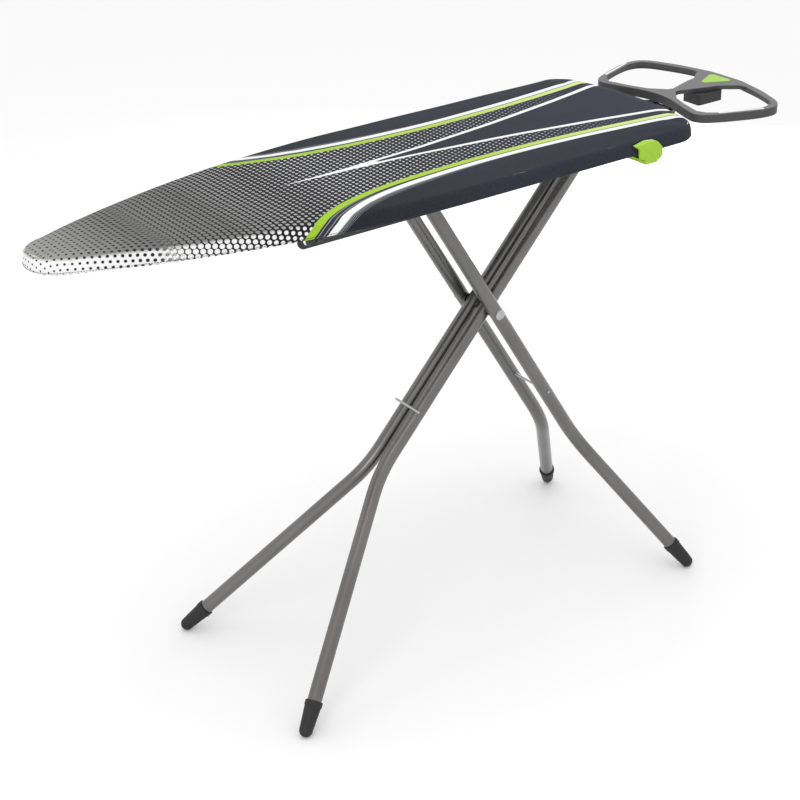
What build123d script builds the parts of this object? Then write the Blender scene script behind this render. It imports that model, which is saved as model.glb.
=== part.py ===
"""Folding ironing board: a padded board, an iron rest, a release lever and two crossed leg frames.

X runs from the nose to the iron rest, Y across the board with the lever on -Y, and Z is up.
The origin is on the floor under the middle of the whole object.
"""
import os
from math import asin, cos, degrees, hypot, pi, radians, sin, sqrt, tan

from build123d import *

# Main sizes, mm and degrees
BOARD_LENGTH = 1240.0
BOARD_WIDTH = 380.0
TOP_HEIGHT = 922.0       # floor to the cover's top
REST_REACH = 233.0       # iron rest beyond the board's tail
HINGE_SETBACK = 129.0    # hinge, ahead of the tail
HINGE_DROP = 56.0        # hinge, below the top
PIVOT_DROP = 266.0       # cross pivot, below the hinge
OUTER_ANGLE = 58.1       # leg slopes with the board at full height
INNER_ANGLE = 47.36
FOLD_ANGLE = 45.4        # how far the inner frame swings to fold
RELEASE_ANGLE = 12.0

# Board layers, measured down from the top
COVER_T = 1.7
PAD_T = 8.9
SHEET_T = 0.8
RIM_R = 8.0
RIM_WALL = 1.2
HEM_DROP = 30.0
HEM_TUCK = 26.0
NOSE_R = 54.0
STRAIGHT = 540.0         # tail end of the board with straight sides
FLANK_X = BOARD_LENGTH - STRAIGHT
CORNER_R = 55.0
TAIL_R = 600.0
COVER_EDGE = 7.0         # rounding of the cover's top edge
PAD_EDGE = 4.0
HOLE_PITCH, HOLE_SIZE = 56.0, 17.0
RIB_WIDTH, RIB_WALL = 30.0, 1.5
NOSE_RIB_X = 186.0
TAIL_RIB_GAP = 74.0      # tail rib behind the hinge rib
GAP = 0.05               # between pieces that seat on each other
SHEET_TOP = TOP_HEIGHT - COVER_T - 0.4 - PAD_T - 0.2
RIM_Z = SHEET_TOP - SHEET_T - RIM_R - 0.02
RIB_BOTTOM = RIM_Z - RIM_R + 0.2
RIM_INSET = COVER_T + 0.5 + RIM_R

# Leg frames
TUBE_R = 13.0
TUBE_WALL = 1.2
BEND_R = 210.0
HINGE_Z = TOP_HEIGHT - HINGE_DROP
PIVOT_Z = HINGE_Z - PIVOT_DROP
SPACER_HALF = 4.25       # between the two inner tubes
LEG_GAP = 5.55           # between an inner and an outer tube
INNER_Y = SPACER_HALF + TUBE_R
OUTER_Y = INNER_Y + 2 * TUBE_R + LEG_GAP
OUTER_FOOT_Y, OUTER_BEND = 213.0, 380.0
INNER_FOOT_Y, INNER_BEND = 204.0, 358.0
FOOT_WALL = 1.75
EAR_GAP, EAR_T = 1.25, 3.0
EAR_Y = INNER_Y + TUBE_R + EAR_GAP
SLEEVE_R, SLEEVE_HALF = 9.0, EAR_Y - 0.5
FOOT_R = 12.0            # ball end of a rubber foot
ROD_R = 2.5
ROD_STATION = 227.0      # wire rods, from the cross pivot
BAR_R = 8.0              # slide bar
SHOE_R = 10.0
TUBE_END = 15.0          # tube beyond its top crossbar
AXLE_R = 5.0
PIVOT_R = 4.0
RUN = 0.06               # running clearance on a radius

INNER_ARM = PIVOT_DROP / sin(radians(INNER_ANGLE))
OUTER_ARM = PIVOT_DROP / sin(radians(OUTER_ANGLE))
HINGE_X = BOARD_LENGTH - HINGE_SETBACK
PIVOT_X = HINGE_X - INNER_ARM * cos(radians(INNER_ANGLE))
FOLD_RATIO = OUTER_ANGLE / INNER_ANGLE
FLANK_R = (FLANK_X**2 - 2 * FLANK_X * NOSE_R + (BOARD_WIDTH / 2) ** 2) / (BOARD_WIDTH - 2 * NOSE_R)
TOTAL_LENGTH = BOARD_LENGTH + REST_REACH

# Guide rails and release lever
RAIL_T = 3.0
RAIL_DEPTH = 14.0        # below the hinge height
RAIL_FLANGE = 16.0
RAIL_OVERRUN = 20.0
SHAFT_ROOM = 18.0        # from the lever's shaft to the rim, at the narrowest place
SHAFT_RISE, SHAFT_R = 12.0, 4.0
SHAFT_TO_RAIL = 31.0
SHAFT_Z = HINGE_Z + SHAFT_RISE
CLIP_HALF, CLIP_WIDE = 8.0, 10.0
LOCK_FROM_SHAFT, LOCK_T, LOCK_H = 21.0, 3.0, 4.5
LOCK_GAP = 0.6           # lock bar above the slide bar
LEVER_AHEAD = 64.0       # lever's front end ahead of the hinge
LEVER_DROP = 41.5        # lever's lower edge below the top
LEVER_T = 12.0
LEVER_OFF = 3.0          # lever's inner face beyond the skirt
LEVER_HUB = 5.0

# Iron rest: places are measured from the tail, in plan
REST_TOP = TOP_HEIGHT - 9.0
REST_T = 16.0
REST_PLATE = 8.0         # thickness inside the outer skirt
REST_SKIRT = 4.0
REST_EDGE = 1.5          # rounding of the top edges
REST_START = 19.0        # inner corners behind the tail
REST_BOW = 32.0          # how far the board-side bar bows away from the tail
REST_CORNER = 129.0      # inner corners' half width
REST_HALF = 189.0
SIDE_BAR, BOARD_BAR, END_BAR = 11.0, 15.0, 22.0
TONGUE_TIP, TONGUE_ROOT = 8.0, 31.0
STRIP_W, STRIP_T, STRIP_SUNK = 5.0, 1.8, 1.0
BADGE_LENGTH, BADGE_HALF, BADGE_T = 61.0, 30.0, 1.4
BADGE_SUNK, BADGE_MARGIN = 1.0, 13.0
SOCKET_X0, SOCKET_X1, SOCKET_Y0, SOCKET_Y1 = 122.0, 184.0, -38.0, 6.0
SOCKET_H, SOCKET_WALL = 20.0, 3.0
HOLDER_HALF, HOLDER_T = 92.0, 9.0
WIRE_R = 4.0
WIRE_Y = 40.0            # rest wire's straight sides, from the middle
WIRE_REACH = 43.0        # rest wire's far end behind the inner corners
WIRE_Z = TOP_HEIGHT - HEM_DROP - WIRE_R - 0.5    # clear of the hem


# Shared shapes ---------------------------------------------------------------------------------

def rod(x, z, r, y0, y1):
    """Cylinder along Y between y0 and y1."""
    return Pos(x, (y0 + y1) / 2, z) * Rot(90, 0, 0) * Cylinder(r, y1 - y0)


def rod_x(y, z, r, x0, x1):
    """Cylinder along X between x0 and x1."""
    return Pos((x0 + x1) / 2, y, z) * Rot(0, 90, 0) * Cylinder(r, x1 - x0)


def block(x0, x1, y0, y1, z0, z1):
    return Pos((x0 + x1) / 2, (y0 + y1) / 2, (z0 + z1) / 2) * Box(x1 - x0, y1 - y0, z1 - z0)


def both_sides(shape):
    """The shape and its mirror image across the board's centre plane."""
    return [shape, mirror(shape, Plane.XZ)]


def closed_wire(*curves):
    """One wire from curves that meet end to end, in any order."""
    return Wire([edge for curve in curves for edge in curve.edges()])


def swept(path, r):
    """Round bar of radius r along a path."""
    start = path @ 0
    return sweep(Plane(start, z_dir=path % 0) * Circle(r), path=path)


def swept_tube(path, r, wall):
    return swept(path, r) - swept(path, r - wall)


def board_outline(inset):
    """Plan outline of the board, a constant distance inside its outer edge."""
    half = BOARD_WIDTH / 2
    flank_y, corner_c = half - FLANK_R, half - CORNER_R
    tail_x = BOARD_LENGTH - TAIL_R
    corner_x = tail_x + sqrt((TAIL_R - CORNER_R) ** 2 - corner_c**2)
    nose_turn = degrees(pi / 2 - asin((FLANK_X - NOSE_R) / (FLANK_R - NOSE_R)))
    tail_turn = degrees(asin(corner_c / (TAIL_R - CORNER_R)))
    upper = [
        CenterArc((FLANK_X, flank_y), FLANK_R - inset, 90, 90 - nose_turn),
        Line((FLANK_X, half - inset), (corner_x, half - inset)),
        CenterArc((corner_x, corner_c), CORNER_R - inset, tail_turn, 90 - tail_turn),
    ]
    nose = CenterArc((NOSE_R, 0), NOSE_R - inset, 180 - nose_turn, 2 * nose_turn)
    tail = CenterArc((tail_x, 0), TAIL_R - inset, -tail_turn, 2 * tail_turn)
    return closed_wire(nose, tail, *[edge for item in upper for edge in both_sides(item)])


def board_plate(inset, z0, z1):
    """Flat plate with the board's plan shape."""
    return Pos(0, 0, z0) * extrude(make_face(board_outline(inset)), z1 - z0)


def half_width(x, inset):
    """Half of the board's width at x, on the flank or the straight sides."""
    if x >= FLANK_X:
        return BOARD_WIDTH / 2 - inset
    return sqrt((FLANK_R - inset) ** 2 - (FLANK_X - x) ** 2) + BOARD_WIDTH / 2 - FLANK_R


def slide_point(share, offset=0.0):
    """Slide bar centre at a share of the fold, moved sideways off its path by an offset."""
    def centre(s):
        turn = s * FOLD_ANGLE
        inner, outer = radians(INNER_ANGLE - turn), radians(OUTER_ANGLE - FOLD_RATIO * turn)
        return (HINGE_X - INNER_ARM * cos(inner) - OUTER_ARM * cos(outer),
                HINGE_Z - INNER_ARM * sin(inner) + OUTER_ARM * sin(outer))
    x, z = centre(share)
    (xa, za), (xb, zb) = centre(share - 0.001), centre(share + 0.001)
    step = hypot(xb - xa, zb - za)
    return x + offset * (zb - za) / step, z + offset * (xa - xb) / step


def slide_curve(offset, count=9):
    """Points of the slide bar's path from full height to folded, at an offset."""
    return [slide_point(i / (count - 1), offset) for i in range(count)]


SLIDE_MAX, SLIDE_MIN = slide_point(0)[0], slide_point(1)[0]
SHAFT_Y = -(half_width(SLIDE_MIN - RAIL_OVERRUN, RIM_INSET + RIM_R) - SHAFT_ROOM)
RAIL_Y = -SHAFT_Y - SHAFT_TO_RAIL
LOCK_Y = SHAFT_Y + LOCK_FROM_SHAFT


# Board -----------------------------------------------------------------------------------------

def cover():
    """Fabric cover: a flat top, a skirt over the rim and a hem tucked under it."""
    bottom = TOP_HEIGHT - HEM_DROP
    outside = board_plate(0, bottom, TOP_HEIGHT)
    outside = fillet(outside.edges().group_by(Axis.Z)[-1], COVER_EDGE)
    inside = board_plate(COVER_T, bottom + COVER_T, TOP_HEIGHT - COVER_T)
    inside = fillet(inside.edges().group_by(Axis.Z)[-1], COVER_EDGE - 1.5)
    return outside - inside - board_plate(HEM_TUCK, bottom - 1, bottom + COVER_T + 1)


def underlay():
    """Felt and foam pad between the steel sheet and the cover."""
    pad = board_plate(COVER_T + 2.3, SHEET_TOP + 0.2, SHEET_TOP + 0.2 + PAD_T)
    return fillet(pad.edges().group_by(Axis.Z)[-1], PAD_EDGE)


def rim_path():
    return Pos(0, 0, RIM_Z) * board_outline(RIM_INSET)


def top_sheet():
    """Perforated steel sheet on the rim, with staggered rows of six-sided steam holes."""
    sheet = make_face(board_outline(RIM_INSET - 4))
    pitch, size = HOLE_PITCH, HOLE_SIZE
    holes = []
    for row in range(-3, 4):
        y = row * pitch * 0.8
        x = 60 + (row % 2) * pitch / 2
        while x < BOARD_LENGTH - 40:
            if half_width(min(x - size, FLANK_X), RIM_INSET + size + 14) > abs(y):
                holes.append(Pos(x, y) * RegularPolygon(size, 6))
            x += pitch
    return Pos(0, 0, SHEET_TOP - SHEET_T) * extrude(sheet - holes, SHEET_T)


def rib_stations():
    """Cross ribs: one near the nose, three over the guide rails, two at the tail."""
    return {
        "cross_rib_nose": NOSE_RIB_X,
        "cross_rib_rail_start": SLIDE_MIN - 14,
        "cross_rib_rail_middle": (SLIDE_MIN + SLIDE_MAX) / 2,
        "cross_rib_rail_end": SLIDE_MAX + 14,
        "cross_rib_hinge": HINGE_X,
        "cross_rib_tail": HINGE_X + TAIL_RIB_GAP,
    }


def cross_rib(x, rim_bar):
    """Pressed steel channel, open side down, welded to the rim at both ends."""
    top = SHEET_TOP - SHEET_T - 0.02
    half, hollow = RIB_WIDTH / 2, RIB_WIDTH / 2 - RIB_WALL
    outer = block(x - half, x + half, -BOARD_WIDTH, BOARD_WIDTH, RIB_BOTTOM, top)
    inner = block(x - hollow, x + hollow, -BOARD_WIDTH, BOARD_WIDTH, RIB_BOTTOM - 1, top - RIB_WALL)
    channel = (outer - inner) & board_plate(RIM_INSET, RIB_BOTTOM, top)
    return largest(channel - rim_bar)


def largest(shape):
    """The biggest solid of a cut shape."""
    return sorted(shape.solids(), key=lambda solid: solid.volume)[-1]


def guide_rail():
    """Slotted steel angle that guides one end of the slide bar; this is the +Y one."""
    x0, x1 = SLIDE_MIN - RAIL_OVERRUN, SLIDE_MAX + RAIL_OVERRUN
    top = RIB_BOTTOM - GAP
    web = block(x0, x1, RAIL_Y, RAIL_Y + RAIL_T, HINGE_Z - RAIL_DEPTH, top)
    web = fillet(web.edges().filter_by(Axis.Y).group_by(Axis.Z)[0], 12)
    flange = block(x0, x1, RAIL_Y - RAIL_FLANGE, RAIL_Y + RAIL_T, top - 2.5, top)
    reach = SHOE_R + 0.25
    high, low = slide_curve(reach), slide_curve(-reach)
    ends = [slide_point(0), slide_point(1)]
    (xa, za), (xb, zb) = slide_point(-0.02), slide_point(1.02)
    step_a, step_b = hypot(xa - ends[0][0], za - ends[0][1]), hypot(xb - ends[1][0], zb - ends[1][1])
    tip_a = (ends[0][0] + reach * (xa - ends[0][0]) / step_a, ends[0][1] + reach * (za - ends[0][1]) / step_a)
    tip_b = (ends[1][0] + reach * (xb - ends[1][0]) / step_b, ends[1][1] + reach * (zb - ends[1][1]) / step_b)
    slot = make_face(closed_wire(Spline(*high), ThreePointArc(high[-1], tip_b, low[-1]),
                                 Spline(*low), ThreePointArc(low[0], tip_a, high[0])))
    slot = extrude(Plane.XZ * slot, 2 * BOARD_WIDTH, both=True)
    return (web + flange) - slot


def hinge_bracket():
    """Two steel ears under the hinge rib that carry the inner frame's axle."""
    top = RIB_BOTTOM - GAP
    plate = block(HINGE_X - 26, HINGE_X + 26, -EAR_Y - EAR_T, EAR_Y + EAR_T, top - EAR_T, top)
    ears = []
    for side in (-1, 1):
        y0, y1 = sorted((side * EAR_Y, side * (EAR_Y + EAR_T)))
        ears.append(block(HINGE_X - 10, HINGE_X + 10, y0, y1, HINGE_Z, top - EAR_T) + rod(HINGE_X, HINGE_Z, 10, y0, y1))
    return plate + ears - rod(HINGE_X, HINGE_Z, AXLE_R, -60, 60)


def headed_axle(x, z, r, reach, head_r, head_t):
    """Round axle along Y with a low domed head on each end."""
    pin = rod(x, z, r, -reach, reach)
    dome = Sphere((head_r**2 + head_t**2) / (2 * head_t))
    dome = Pos(0, 0, head_t - (head_r**2 + head_t**2) / (2 * head_t)) * dome
    dome = dome & Pos(0, 0, head_t / 2) * Cylinder(head_r, head_t)
    head = Pos(x, reach, z) * Rot(-90, 0, 0) * dome
    return pin + both_sides_about(head)


def both_sides_about(shape):
    return shape + mirror(shape, Plane.XZ)


# Iron rest -------------------------------------------------------------------------------------

def from_start(x, y):
    """Plan point measured back from the iron rest's inner corners."""
    return BOARD_LENGTH + REST_START + x, y


def from_end(x, y):
    """Plan point measured ahead of the iron rest's far end."""
    return TOTAL_LENGTH - x, y


def rest_outline(inset=0.0):
    """Edge of the iron rest: bowed towards the board, widening away from it."""
    half = [from_start(REST_BOW, 0), from_start(REST_BOW - 6, 42), from_start(13, REST_CORNER - 49),
            from_start(3, REST_CORNER - 17), from_start(1, REST_CORNER - 2), from_start(9, REST_CORNER + 12),
            from_start(36, REST_CORNER + 28), from_end(132, REST_HALF - 13), from_end(88, REST_HALF - 1),
            from_end(64, REST_HALF - 3), from_end(45, REST_HALF - 17), from_end(31, REST_HALF - 44),
            from_end(13, REST_HALF - 95), from_end(4, REST_HALF - 135), from_end(0, 0)]
    if inset:
        half = inset_points(half, inset)
    side = Spline(*half, tangents=[(0, 1), (0, -1)])
    return make_face(closed_wire(side, mirror(side, Plane.XZ)))


def inset_points(half, inset):
    """The points of half an outline, first and last on the middle line, moved inwards."""
    moved = [(half[0][0] + inset, 0)]
    for (xa, ya), (x, y), (xb, yb) in zip(half, half[1:], half[2:]):
        step = hypot(xb - xa, yb - ya)
        moved.append((x + inset * (yb - ya) / step, y - inset * (xb - xa) / step))
    return moved + [(half[-1][0] - inset, 0)]


def rest_window():
    """One of the two openings, between a side bar and the central tongue."""
    points = [from_start(REST_BOW + BOARD_BAR + 20, 11), from_start(REST_BOW + BOARD_BAR + 30, TONGUE_TIP),
              from_end(79, TONGUE_ROOT - 4), from_end(59, TONGUE_ROOT), from_end(45, TONGUE_ROOT + 10),
              from_end(END_BAR + 2, TONGUE_ROOT + 26), from_end(END_BAR, TONGUE_ROOT + 40),
              from_end(END_BAR + 14, REST_HALF - 72), from_end(END_BAR + 27, REST_HALF - 35),
              from_end(END_BAR + 40, REST_HALF - SIDE_BAR - 5), from_end(92, REST_HALF - SIDE_BAR - 2),
              from_start(42, REST_CORNER + 30 - SIDE_BAR), from_start(24, REST_CORNER + 16 - SIDE_BAR),
              from_start(BOARD_BAR + 2, REST_CORNER - 12), from_start(BOARD_BAR + 15, REST_CORNER - 58),
              from_start(BOARD_BAR + 28, 38)]
    window = make_face(Polyline(*points, close=True))
    return fillet(window.vertices(), 4)


def iron_rest():
    """Moulded plastic frame for a hot iron, with pockets for the strips and the badge."""
    window = rest_window()
    plan = rest_outline() - window - mirror(window, Plane.XZ)
    body = Pos(0, 0, REST_TOP - REST_T) * extrude(plan, REST_T)
    body = fillet(body.edges().group_by(Axis.Z)[-1], REST_EDGE)
    hollow = rest_outline(REST_SKIRT)
    body -= Pos(0, 0, REST_TOP - REST_T) * extrude(hollow, REST_T - REST_PLATE)
    pockets = [Pos(0, 0, REST_TOP - STRIP_SUNK) * extrude(strip_plan(side, GAP), STRIP_T) for side in (-1, 1)]
    return body - pockets - Pos(0, 0, REST_TOP - BADGE_SUNK) * extrude(badge_plan(GAP), BADGE_T)


def strip_plan(side, clearance):
    """Plan of the soft strip along a side bar."""
    (xa, ya), (xb, yb) = from_start(40, REST_CORNER + 29 - SIDE_BAR / 2), from_end(95, REST_HALF - SIDE_BAR / 2 - 0.7)
    plan = make_face(SlotCenterToCenter(hypot(xb - xa, yb - ya), STRIP_W + 2 * clearance).wire())
    turn = degrees(asin((yb - ya) / hypot(xb - xa, yb - ya)))
    return Pos((xa + xb) / 2, side * (ya + yb) / 2) * Rot(0, 0, side * turn) * plan


def rest_strips():
    """Silicone strips let into the side bars, which a hot iron stands on."""
    return [Pos(0, 0, REST_TOP - STRIP_SUNK + GAP) * extrude(strip_plan(side, 0), STRIP_T) for side in (-1, 1)]


def badge_plan(clearance):
    """Rounded triangle on the tongue, its point towards the board."""
    tip = from_end(BADGE_MARGIN + BADGE_LENGTH, 0)
    high, low = from_end(BADGE_MARGIN, BADGE_HALF), from_end(BADGE_MARGIN, -BADGE_HALF)
    plan = fillet(make_face(Polyline(tip, high, low, close=True)).vertices(), 7)
    return offset(plan, clearance) if clearance else plan


def rest_badge():
    """Plain inlay on the tongue."""
    return Pos(0, 0, REST_TOP - BADGE_SUNK + GAP) * extrude(badge_plan(0), BADGE_T)


def rest_socket():
    """Black box under the tongue, open at its far end."""
    x0, x1, top = BOARD_LENGTH + SOCKET_X0, BOARD_LENGTH + SOCKET_X1, REST_TOP - REST_PLATE - GAP
    box = block(x0, x1, SOCKET_Y0, SOCKET_Y1, top - SOCKET_H, top)
    box = fillet(box.edges().filter_by(Axis.Z), 5)
    wall = SOCKET_WALL
    return box - block(x0 + wall, x1 + 1, SOCKET_Y0 + wall, SOCKET_Y1 - wall, top - SOCKET_H + wall, top - wall)


def rest_holder():
    """Moulded black bridge behind the tail that holds the wire."""
    tail_x = BOARD_LENGTH - TAIL_R
    outer_r = TAIL_R + 3 + HOLDER_T
    top = REST_TOP - 11
    ring = Pos(tail_x, 0, (WIRE_Z + top) / 2) * (Cylinder(outer_r, top - WIRE_Z) - Cylinder(TAIL_R + 3, top - WIRE_Z))
    ring = ring & block(tail_x, TOTAL_LENGTH, -HOLDER_HALF, HOLDER_HALF, WIRE_Z, top)
    lip = block(BOARD_LENGTH - 40, BOARD_LENGTH + 6, -HOLDER_HALF, HOLDER_HALF, WIRE_Z - 6, WIRE_Z + 1)
    lip = fillet(lip.edges().filter_by(Axis.Z), 6)
    return ring + lip - swept(rest_wire_path(), WIRE_R + GAP)


def rest_wire_path():
    """Bent steel wire from the tail rib out under the iron rest's board-side bar."""
    side = [(HINGE_X + 40, WIRE_Y), from_start(WIRE_REACH, WIRE_Y)]
    points = side + [(x, -y) for x, y in reversed(side)]
    return FilletPolyline(*[(x, y, WIRE_Z) for x, y in points], radius=14)


def wire_saddles():
    """Plastic saddles that hang the rest wire under the tail rib."""
    x = HINGE_X + TAIL_RIB_GAP
    y = WIRE_Y
    saddle = block(x - 9, x + 9, y - 11, y + 11, WIRE_Z - 8, RIB_BOTTOM - GAP)
    saddle = fillet(saddle.edges().filter_by(Axis.X).group_by(Axis.Z)[0], 5)
    return both_sides(saddle - swept(rest_wire_path(), WIRE_R + GAP))


def clip_place():
    return from_start(WIRE_REACH, WIRE_Y / 2)


def wire_clips():
    """Plastic blocks under the rest's board-side bar that hold the wire."""
    x, y = clip_place()
    clip = block(x - 7, x + 7, y - 6, y + 6, WIRE_Z - WIRE_R - 3, REST_TOP - REST_PLATE - GAP)
    return both_sides(clip - rod(x, WIRE_Z, WIRE_R + GAP, 0, 2 * y))


def clip_screws():
    """Screw heads under the wire clips."""
    x, y = clip_place()
    return both_sides(Pos(x, y, WIRE_Z - WIRE_R - 3 - 1.25) * Cylinder(3.6, 2.4))


# Release lever ---------------------------------------------------------------------------------

def lever_handle():
    """Moulded thumb lever outside the skirt: a slanted leaf over a finger scoop."""
    x = HINGE_X - LEVER_AHEAD
    y0 = -BOARD_WIDTH / 2 - LEVER_OFF
    z = TOP_HEIGHT - LEVER_DROP
    leaf = make_face(Polyline((x, z + 35), (x + 24, z + 40), (x + 46, z + 38), (x + 60, z + 24), (x + 60, z + 6),
                              (x + 42, z), (x + 16, z + 8), (x + 13, z + 26), close=True))
    corners = leaf.vertices().sort_by_distance((x + 60, z + 30))
    leaf = fillet(corners[:3], 9)
    plate = Pos(0, y0, 0) * extrude(Plane.XZ * leaf, LEVER_T)
    scoop = Pos(x + 30, y0 - LEVER_T - 6, z + 4) * Rot(0, 38, 0) * Rot(0, 90, 0) * Cylinder(14, 140)
    plate = plate - scoop
    hub_x0, hub_x1 = x + 28, x + 56
    arm = block(hub_x0, hub_x1, y0 - 5, SHAFT_Y, z - 4, z + 2)
    hub = rod_x(SHAFT_Y, SHAFT_Z, SHAFT_R + LEVER_HUB, hub_x0, hub_x1)
    web = block(hub_x0, hub_x1, SHAFT_Y - 9, SHAFT_Y, z - 4, SHAFT_Z)
    root = block(hub_x0, hub_x1, y0 - 5, y0, z - 4, z + 14)
    return plate + arm + root + hub + web - rod_x(SHAFT_Y, SHAFT_Z, SHAFT_R, x - 50, x + 150)


def lever_shaft():
    return rod_x(SHAFT_Y, SHAFT_Z, SHAFT_R, SLIDE_MIN - RAIL_OVERRUN, HINGE_X + 22)


def lock_bar():
    """Curved strip that bears down on the slide bar's end, with three arms to the shaft."""
    gap = BAR_R + LOCK_GAP
    low, high = slide_curve(gap), slide_curve(gap + LOCK_H)
    strip = make_face(closed_wire(Spline(*low), Line(low[-1], high[-1]), Spline(*high), Line(high[0], low[0])))
    strip = Pos(0, LOCK_Y + LOCK_T / 2, 0) * extrude(Plane.XZ * strip, LOCK_T)
    arms = []
    for share in (0.02, 0.5, 0.93):
        x, z = slide_point(share, gap)
        arms.append(block(x - 6, x + 6, SHAFT_Y, LOCK_Y + LOCK_T / 2, z + 1.8, z + LOCK_H - 0.4))
        arms.append(rod_x(SHAFT_Y, SHAFT_Z, SHAFT_R + 2.5, x - 6, x + 6))
        arms.append(block(x - 6, x + 6, SHAFT_Y - 2, SHAFT_Y + 6, SHAFT_Z - 3, z + LOCK_H - 0.4))
    return strip + arms - rod_x(SHAFT_Y, SHAFT_Z, SHAFT_R, 0, BOARD_LENGTH)


def shaft_clip_stations():
    return [SLIDE_MIN - 14, SLIDE_MAX + 14, HINGE_X + 9]


def shaft_clips():
    """Plastic bearing blocks under the ribs for the lever's shaft."""
    bore = rod_x(SHAFT_Y, SHAFT_Z, SHAFT_R + RUN, 0, BOARD_LENGTH)
    return [block(x - CLIP_WIDE / 2, x + CLIP_WIDE / 2, SHAFT_Y - CLIP_HALF, SHAFT_Y + CLIP_HALF, SHAFT_Z - CLIP_HALF, RIB_BOTTOM - GAP) - bore
            for x in shaft_clip_stations()]


def lever_spring():
    """Torsion spring round the shaft beside the handle."""
    x = HINGE_X - LEVER_AHEAD - 20
    helix = Helix(pitch=2.0, height=14.0, radius=SHAFT_R + 2.0)
    wire = Plane(helix @ 0, z_dir=helix % 0) * Circle(0.6)
    return Pos(x, SHAFT_Y, SHAFT_Z) * Rot(0, 90, 0) * sweep(wire, path=helix, is_frenet=True)


# Leg frames, drawn flat: X down the legs from the cross pivot, Z square to the frame -----------

def stand(shape, angle):
    """Turn a flat leg shape to its slope and put it on the cross pivot."""
    return Pos(PIVOT_X, 0, PIVOT_Z) * Rot(0, angle, 0) * shape


def foot_reach(angle):
    """Distance from the pivot to the foot's ball centre."""
    return (PIVOT_Z - FOOT_R) / sin(radians(angle))


def leg_path(arm, y, bend, foot_x, foot_y, end_gap):
    """Tube centre line with its splay bend, stopping short of the foot's ball centre."""
    length = hypot(foot_x - bend, foot_y - y)
    share = 1 - end_gap / length
    end = (bend + share * (foot_x - bend), y + share * (foot_y - y))
    return FilletPolyline((-arm - TUBE_END, y), (bend, y), end, radius=BEND_R)


def leg_tube(arm, y, bend, foot_x, foot_y):
    return swept_tube(leg_path(arm, y, bend, foot_x, foot_y, 16), TUBE_R, TUBE_WALL)


def leg_foot(y, bend, foot_x, foot_y):
    """Rubber foot: a collar, a slightly tapered sleeve and a ball end."""
    fit, tip = TUBE_R + 0.05, FOOT_R
    sleeve = Polyline((0, -tip), (0, 12), (fit, 12), (fit, 52), (fit + FOOT_WALL + 1, 52),
                      (fit + FOOT_WALL + 1, 43), (fit + FOOT_WALL, 42), (tip, 0))
    profile = make_face(closed_wire(sleeve, CenterArc((0, 0), tip, 270, 90)))
    foot = revolve(Plane.YZ * profile, Axis.Z)
    toward = Vector(bend - foot_x, y - foot_y, 0)
    return Plane((foot_x, foot_y, 0), z_dir=toward) * foot


def tube_plug(arm, y):
    """Plastic plug in a tube's top end."""
    cap = Pos(-arm - TUBE_END - 1.25, y, 0) * Rot(0, 90, 0) * Cylinder(TUBE_R - 0.4, 2.4)
    stem_x = -arm - TUBE_END + 1.6
    return cap + Pos(stem_x, y, 0) * Rot(0, 90, 0) * Cylinder(TUBE_R - TUBE_WALL - 0.1, 3.4)


def outer_frame():
    """Outer leg frame with the slide bar on top: node name to flat shape."""
    foot_x = foot_reach(OUTER_ANGLE)
    tube = leg_tube(OUTER_ARM, OUTER_Y, OUTER_BEND, foot_x, OUTER_FOOT_Y)
    tube -= [rod(-OUTER_ARM, 0, BAR_R, 0, 200), rod(0, 0, PIVOT_R, 0, 200), rod(ROD_STATION, 0, ROD_R, 0, 200)]
    far, near = [leg_foot(side * OUTER_Y, OUTER_BEND, foot_x, side * OUTER_FOOT_Y) for side in (1, -1)]
    shoe = rod(-OUTER_ARM, 0, SHOE_R, RAIL_Y - 3, RAIL_Y + RAIL_T + 3) - rod(-OUTER_ARM, 0, BAR_R, 0, 200)
    inner_face, outer_face = INNER_Y + TUBE_R, OUTER_Y - TUBE_R
    washer = rod(0, 0, 10, inner_face + 0.25, outer_face) - rod(0, 0, PIVOT_R, 0, 200)
    plug = tube_plug(OUTER_ARM, OUTER_Y)
    return {
        "outer_tube_far": tube, "outer_tube_near": mirror(tube, Plane.XZ),
        "outer_foot_far": far, "outer_foot_near": near,
        "slide_bar": rod(-OUTER_ARM, 0, BAR_R, -RAIL_Y - 14, RAIL_Y + 8),
        "slide_shoes": both_sides(shoe),
        "outer_plugs": both_sides(plug),
        "outer_wire_rod": rod(ROD_STATION, 0, ROD_R, -OUTER_Y - 14, OUTER_Y + 30),
        "pivot_washers": both_sides(washer),
        "pivot_axle": headed_axle(0, 0, PIVOT_R, OUTER_Y + TUBE_R + GAP, PIVOT_R + 6, 4),
    }


def inner_frame():
    """Inner leg frame, hinged under the board: node name to flat shape."""
    foot_x = foot_reach(INNER_ANGLE)
    tube = leg_tube(INNER_ARM, INNER_Y, INNER_BEND, foot_x, INNER_FOOT_Y)
    tube -= [rod(-INNER_ARM, 0, SLEEVE_R, 0, 200), rod(0, 0, PIVOT_R + RUN, 0, 200)]
    far, near = [leg_foot(side * INNER_Y, INNER_BEND, foot_x, side * INNER_FOOT_Y) for side in (1, -1)]
    sleeve = rod(-INNER_ARM, 0, SLEEVE_R, -SLEEVE_HALF, SLEEVE_HALF) - rod(-INNER_ARM, 0, AXLE_R + RUN, -60, 60)
    spacer_y = SPACER_HALF
    spacer = rod(0, 0, 8, -spacer_y, spacer_y) - rod(0, 0, PIVOT_R + RUN, -60, 60)
    plug = tube_plug(INNER_ARM, INNER_Y)
    return {
        "inner_tube_far": tube, "inner_tube_near": mirror(tube, Plane.XZ),
        "inner_foot_far": far, "inner_foot_near": near,
        "hinge_sleeve": sleeve,
        "inner_plugs": both_sides(plug),
        "inner_wire_rod": rod(ROD_STATION, -TUBE_R - ROD_R, ROD_R, -INNER_Y - 17, INNER_Y + 17),
        "pivot_spacer": spacer,
    }


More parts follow.
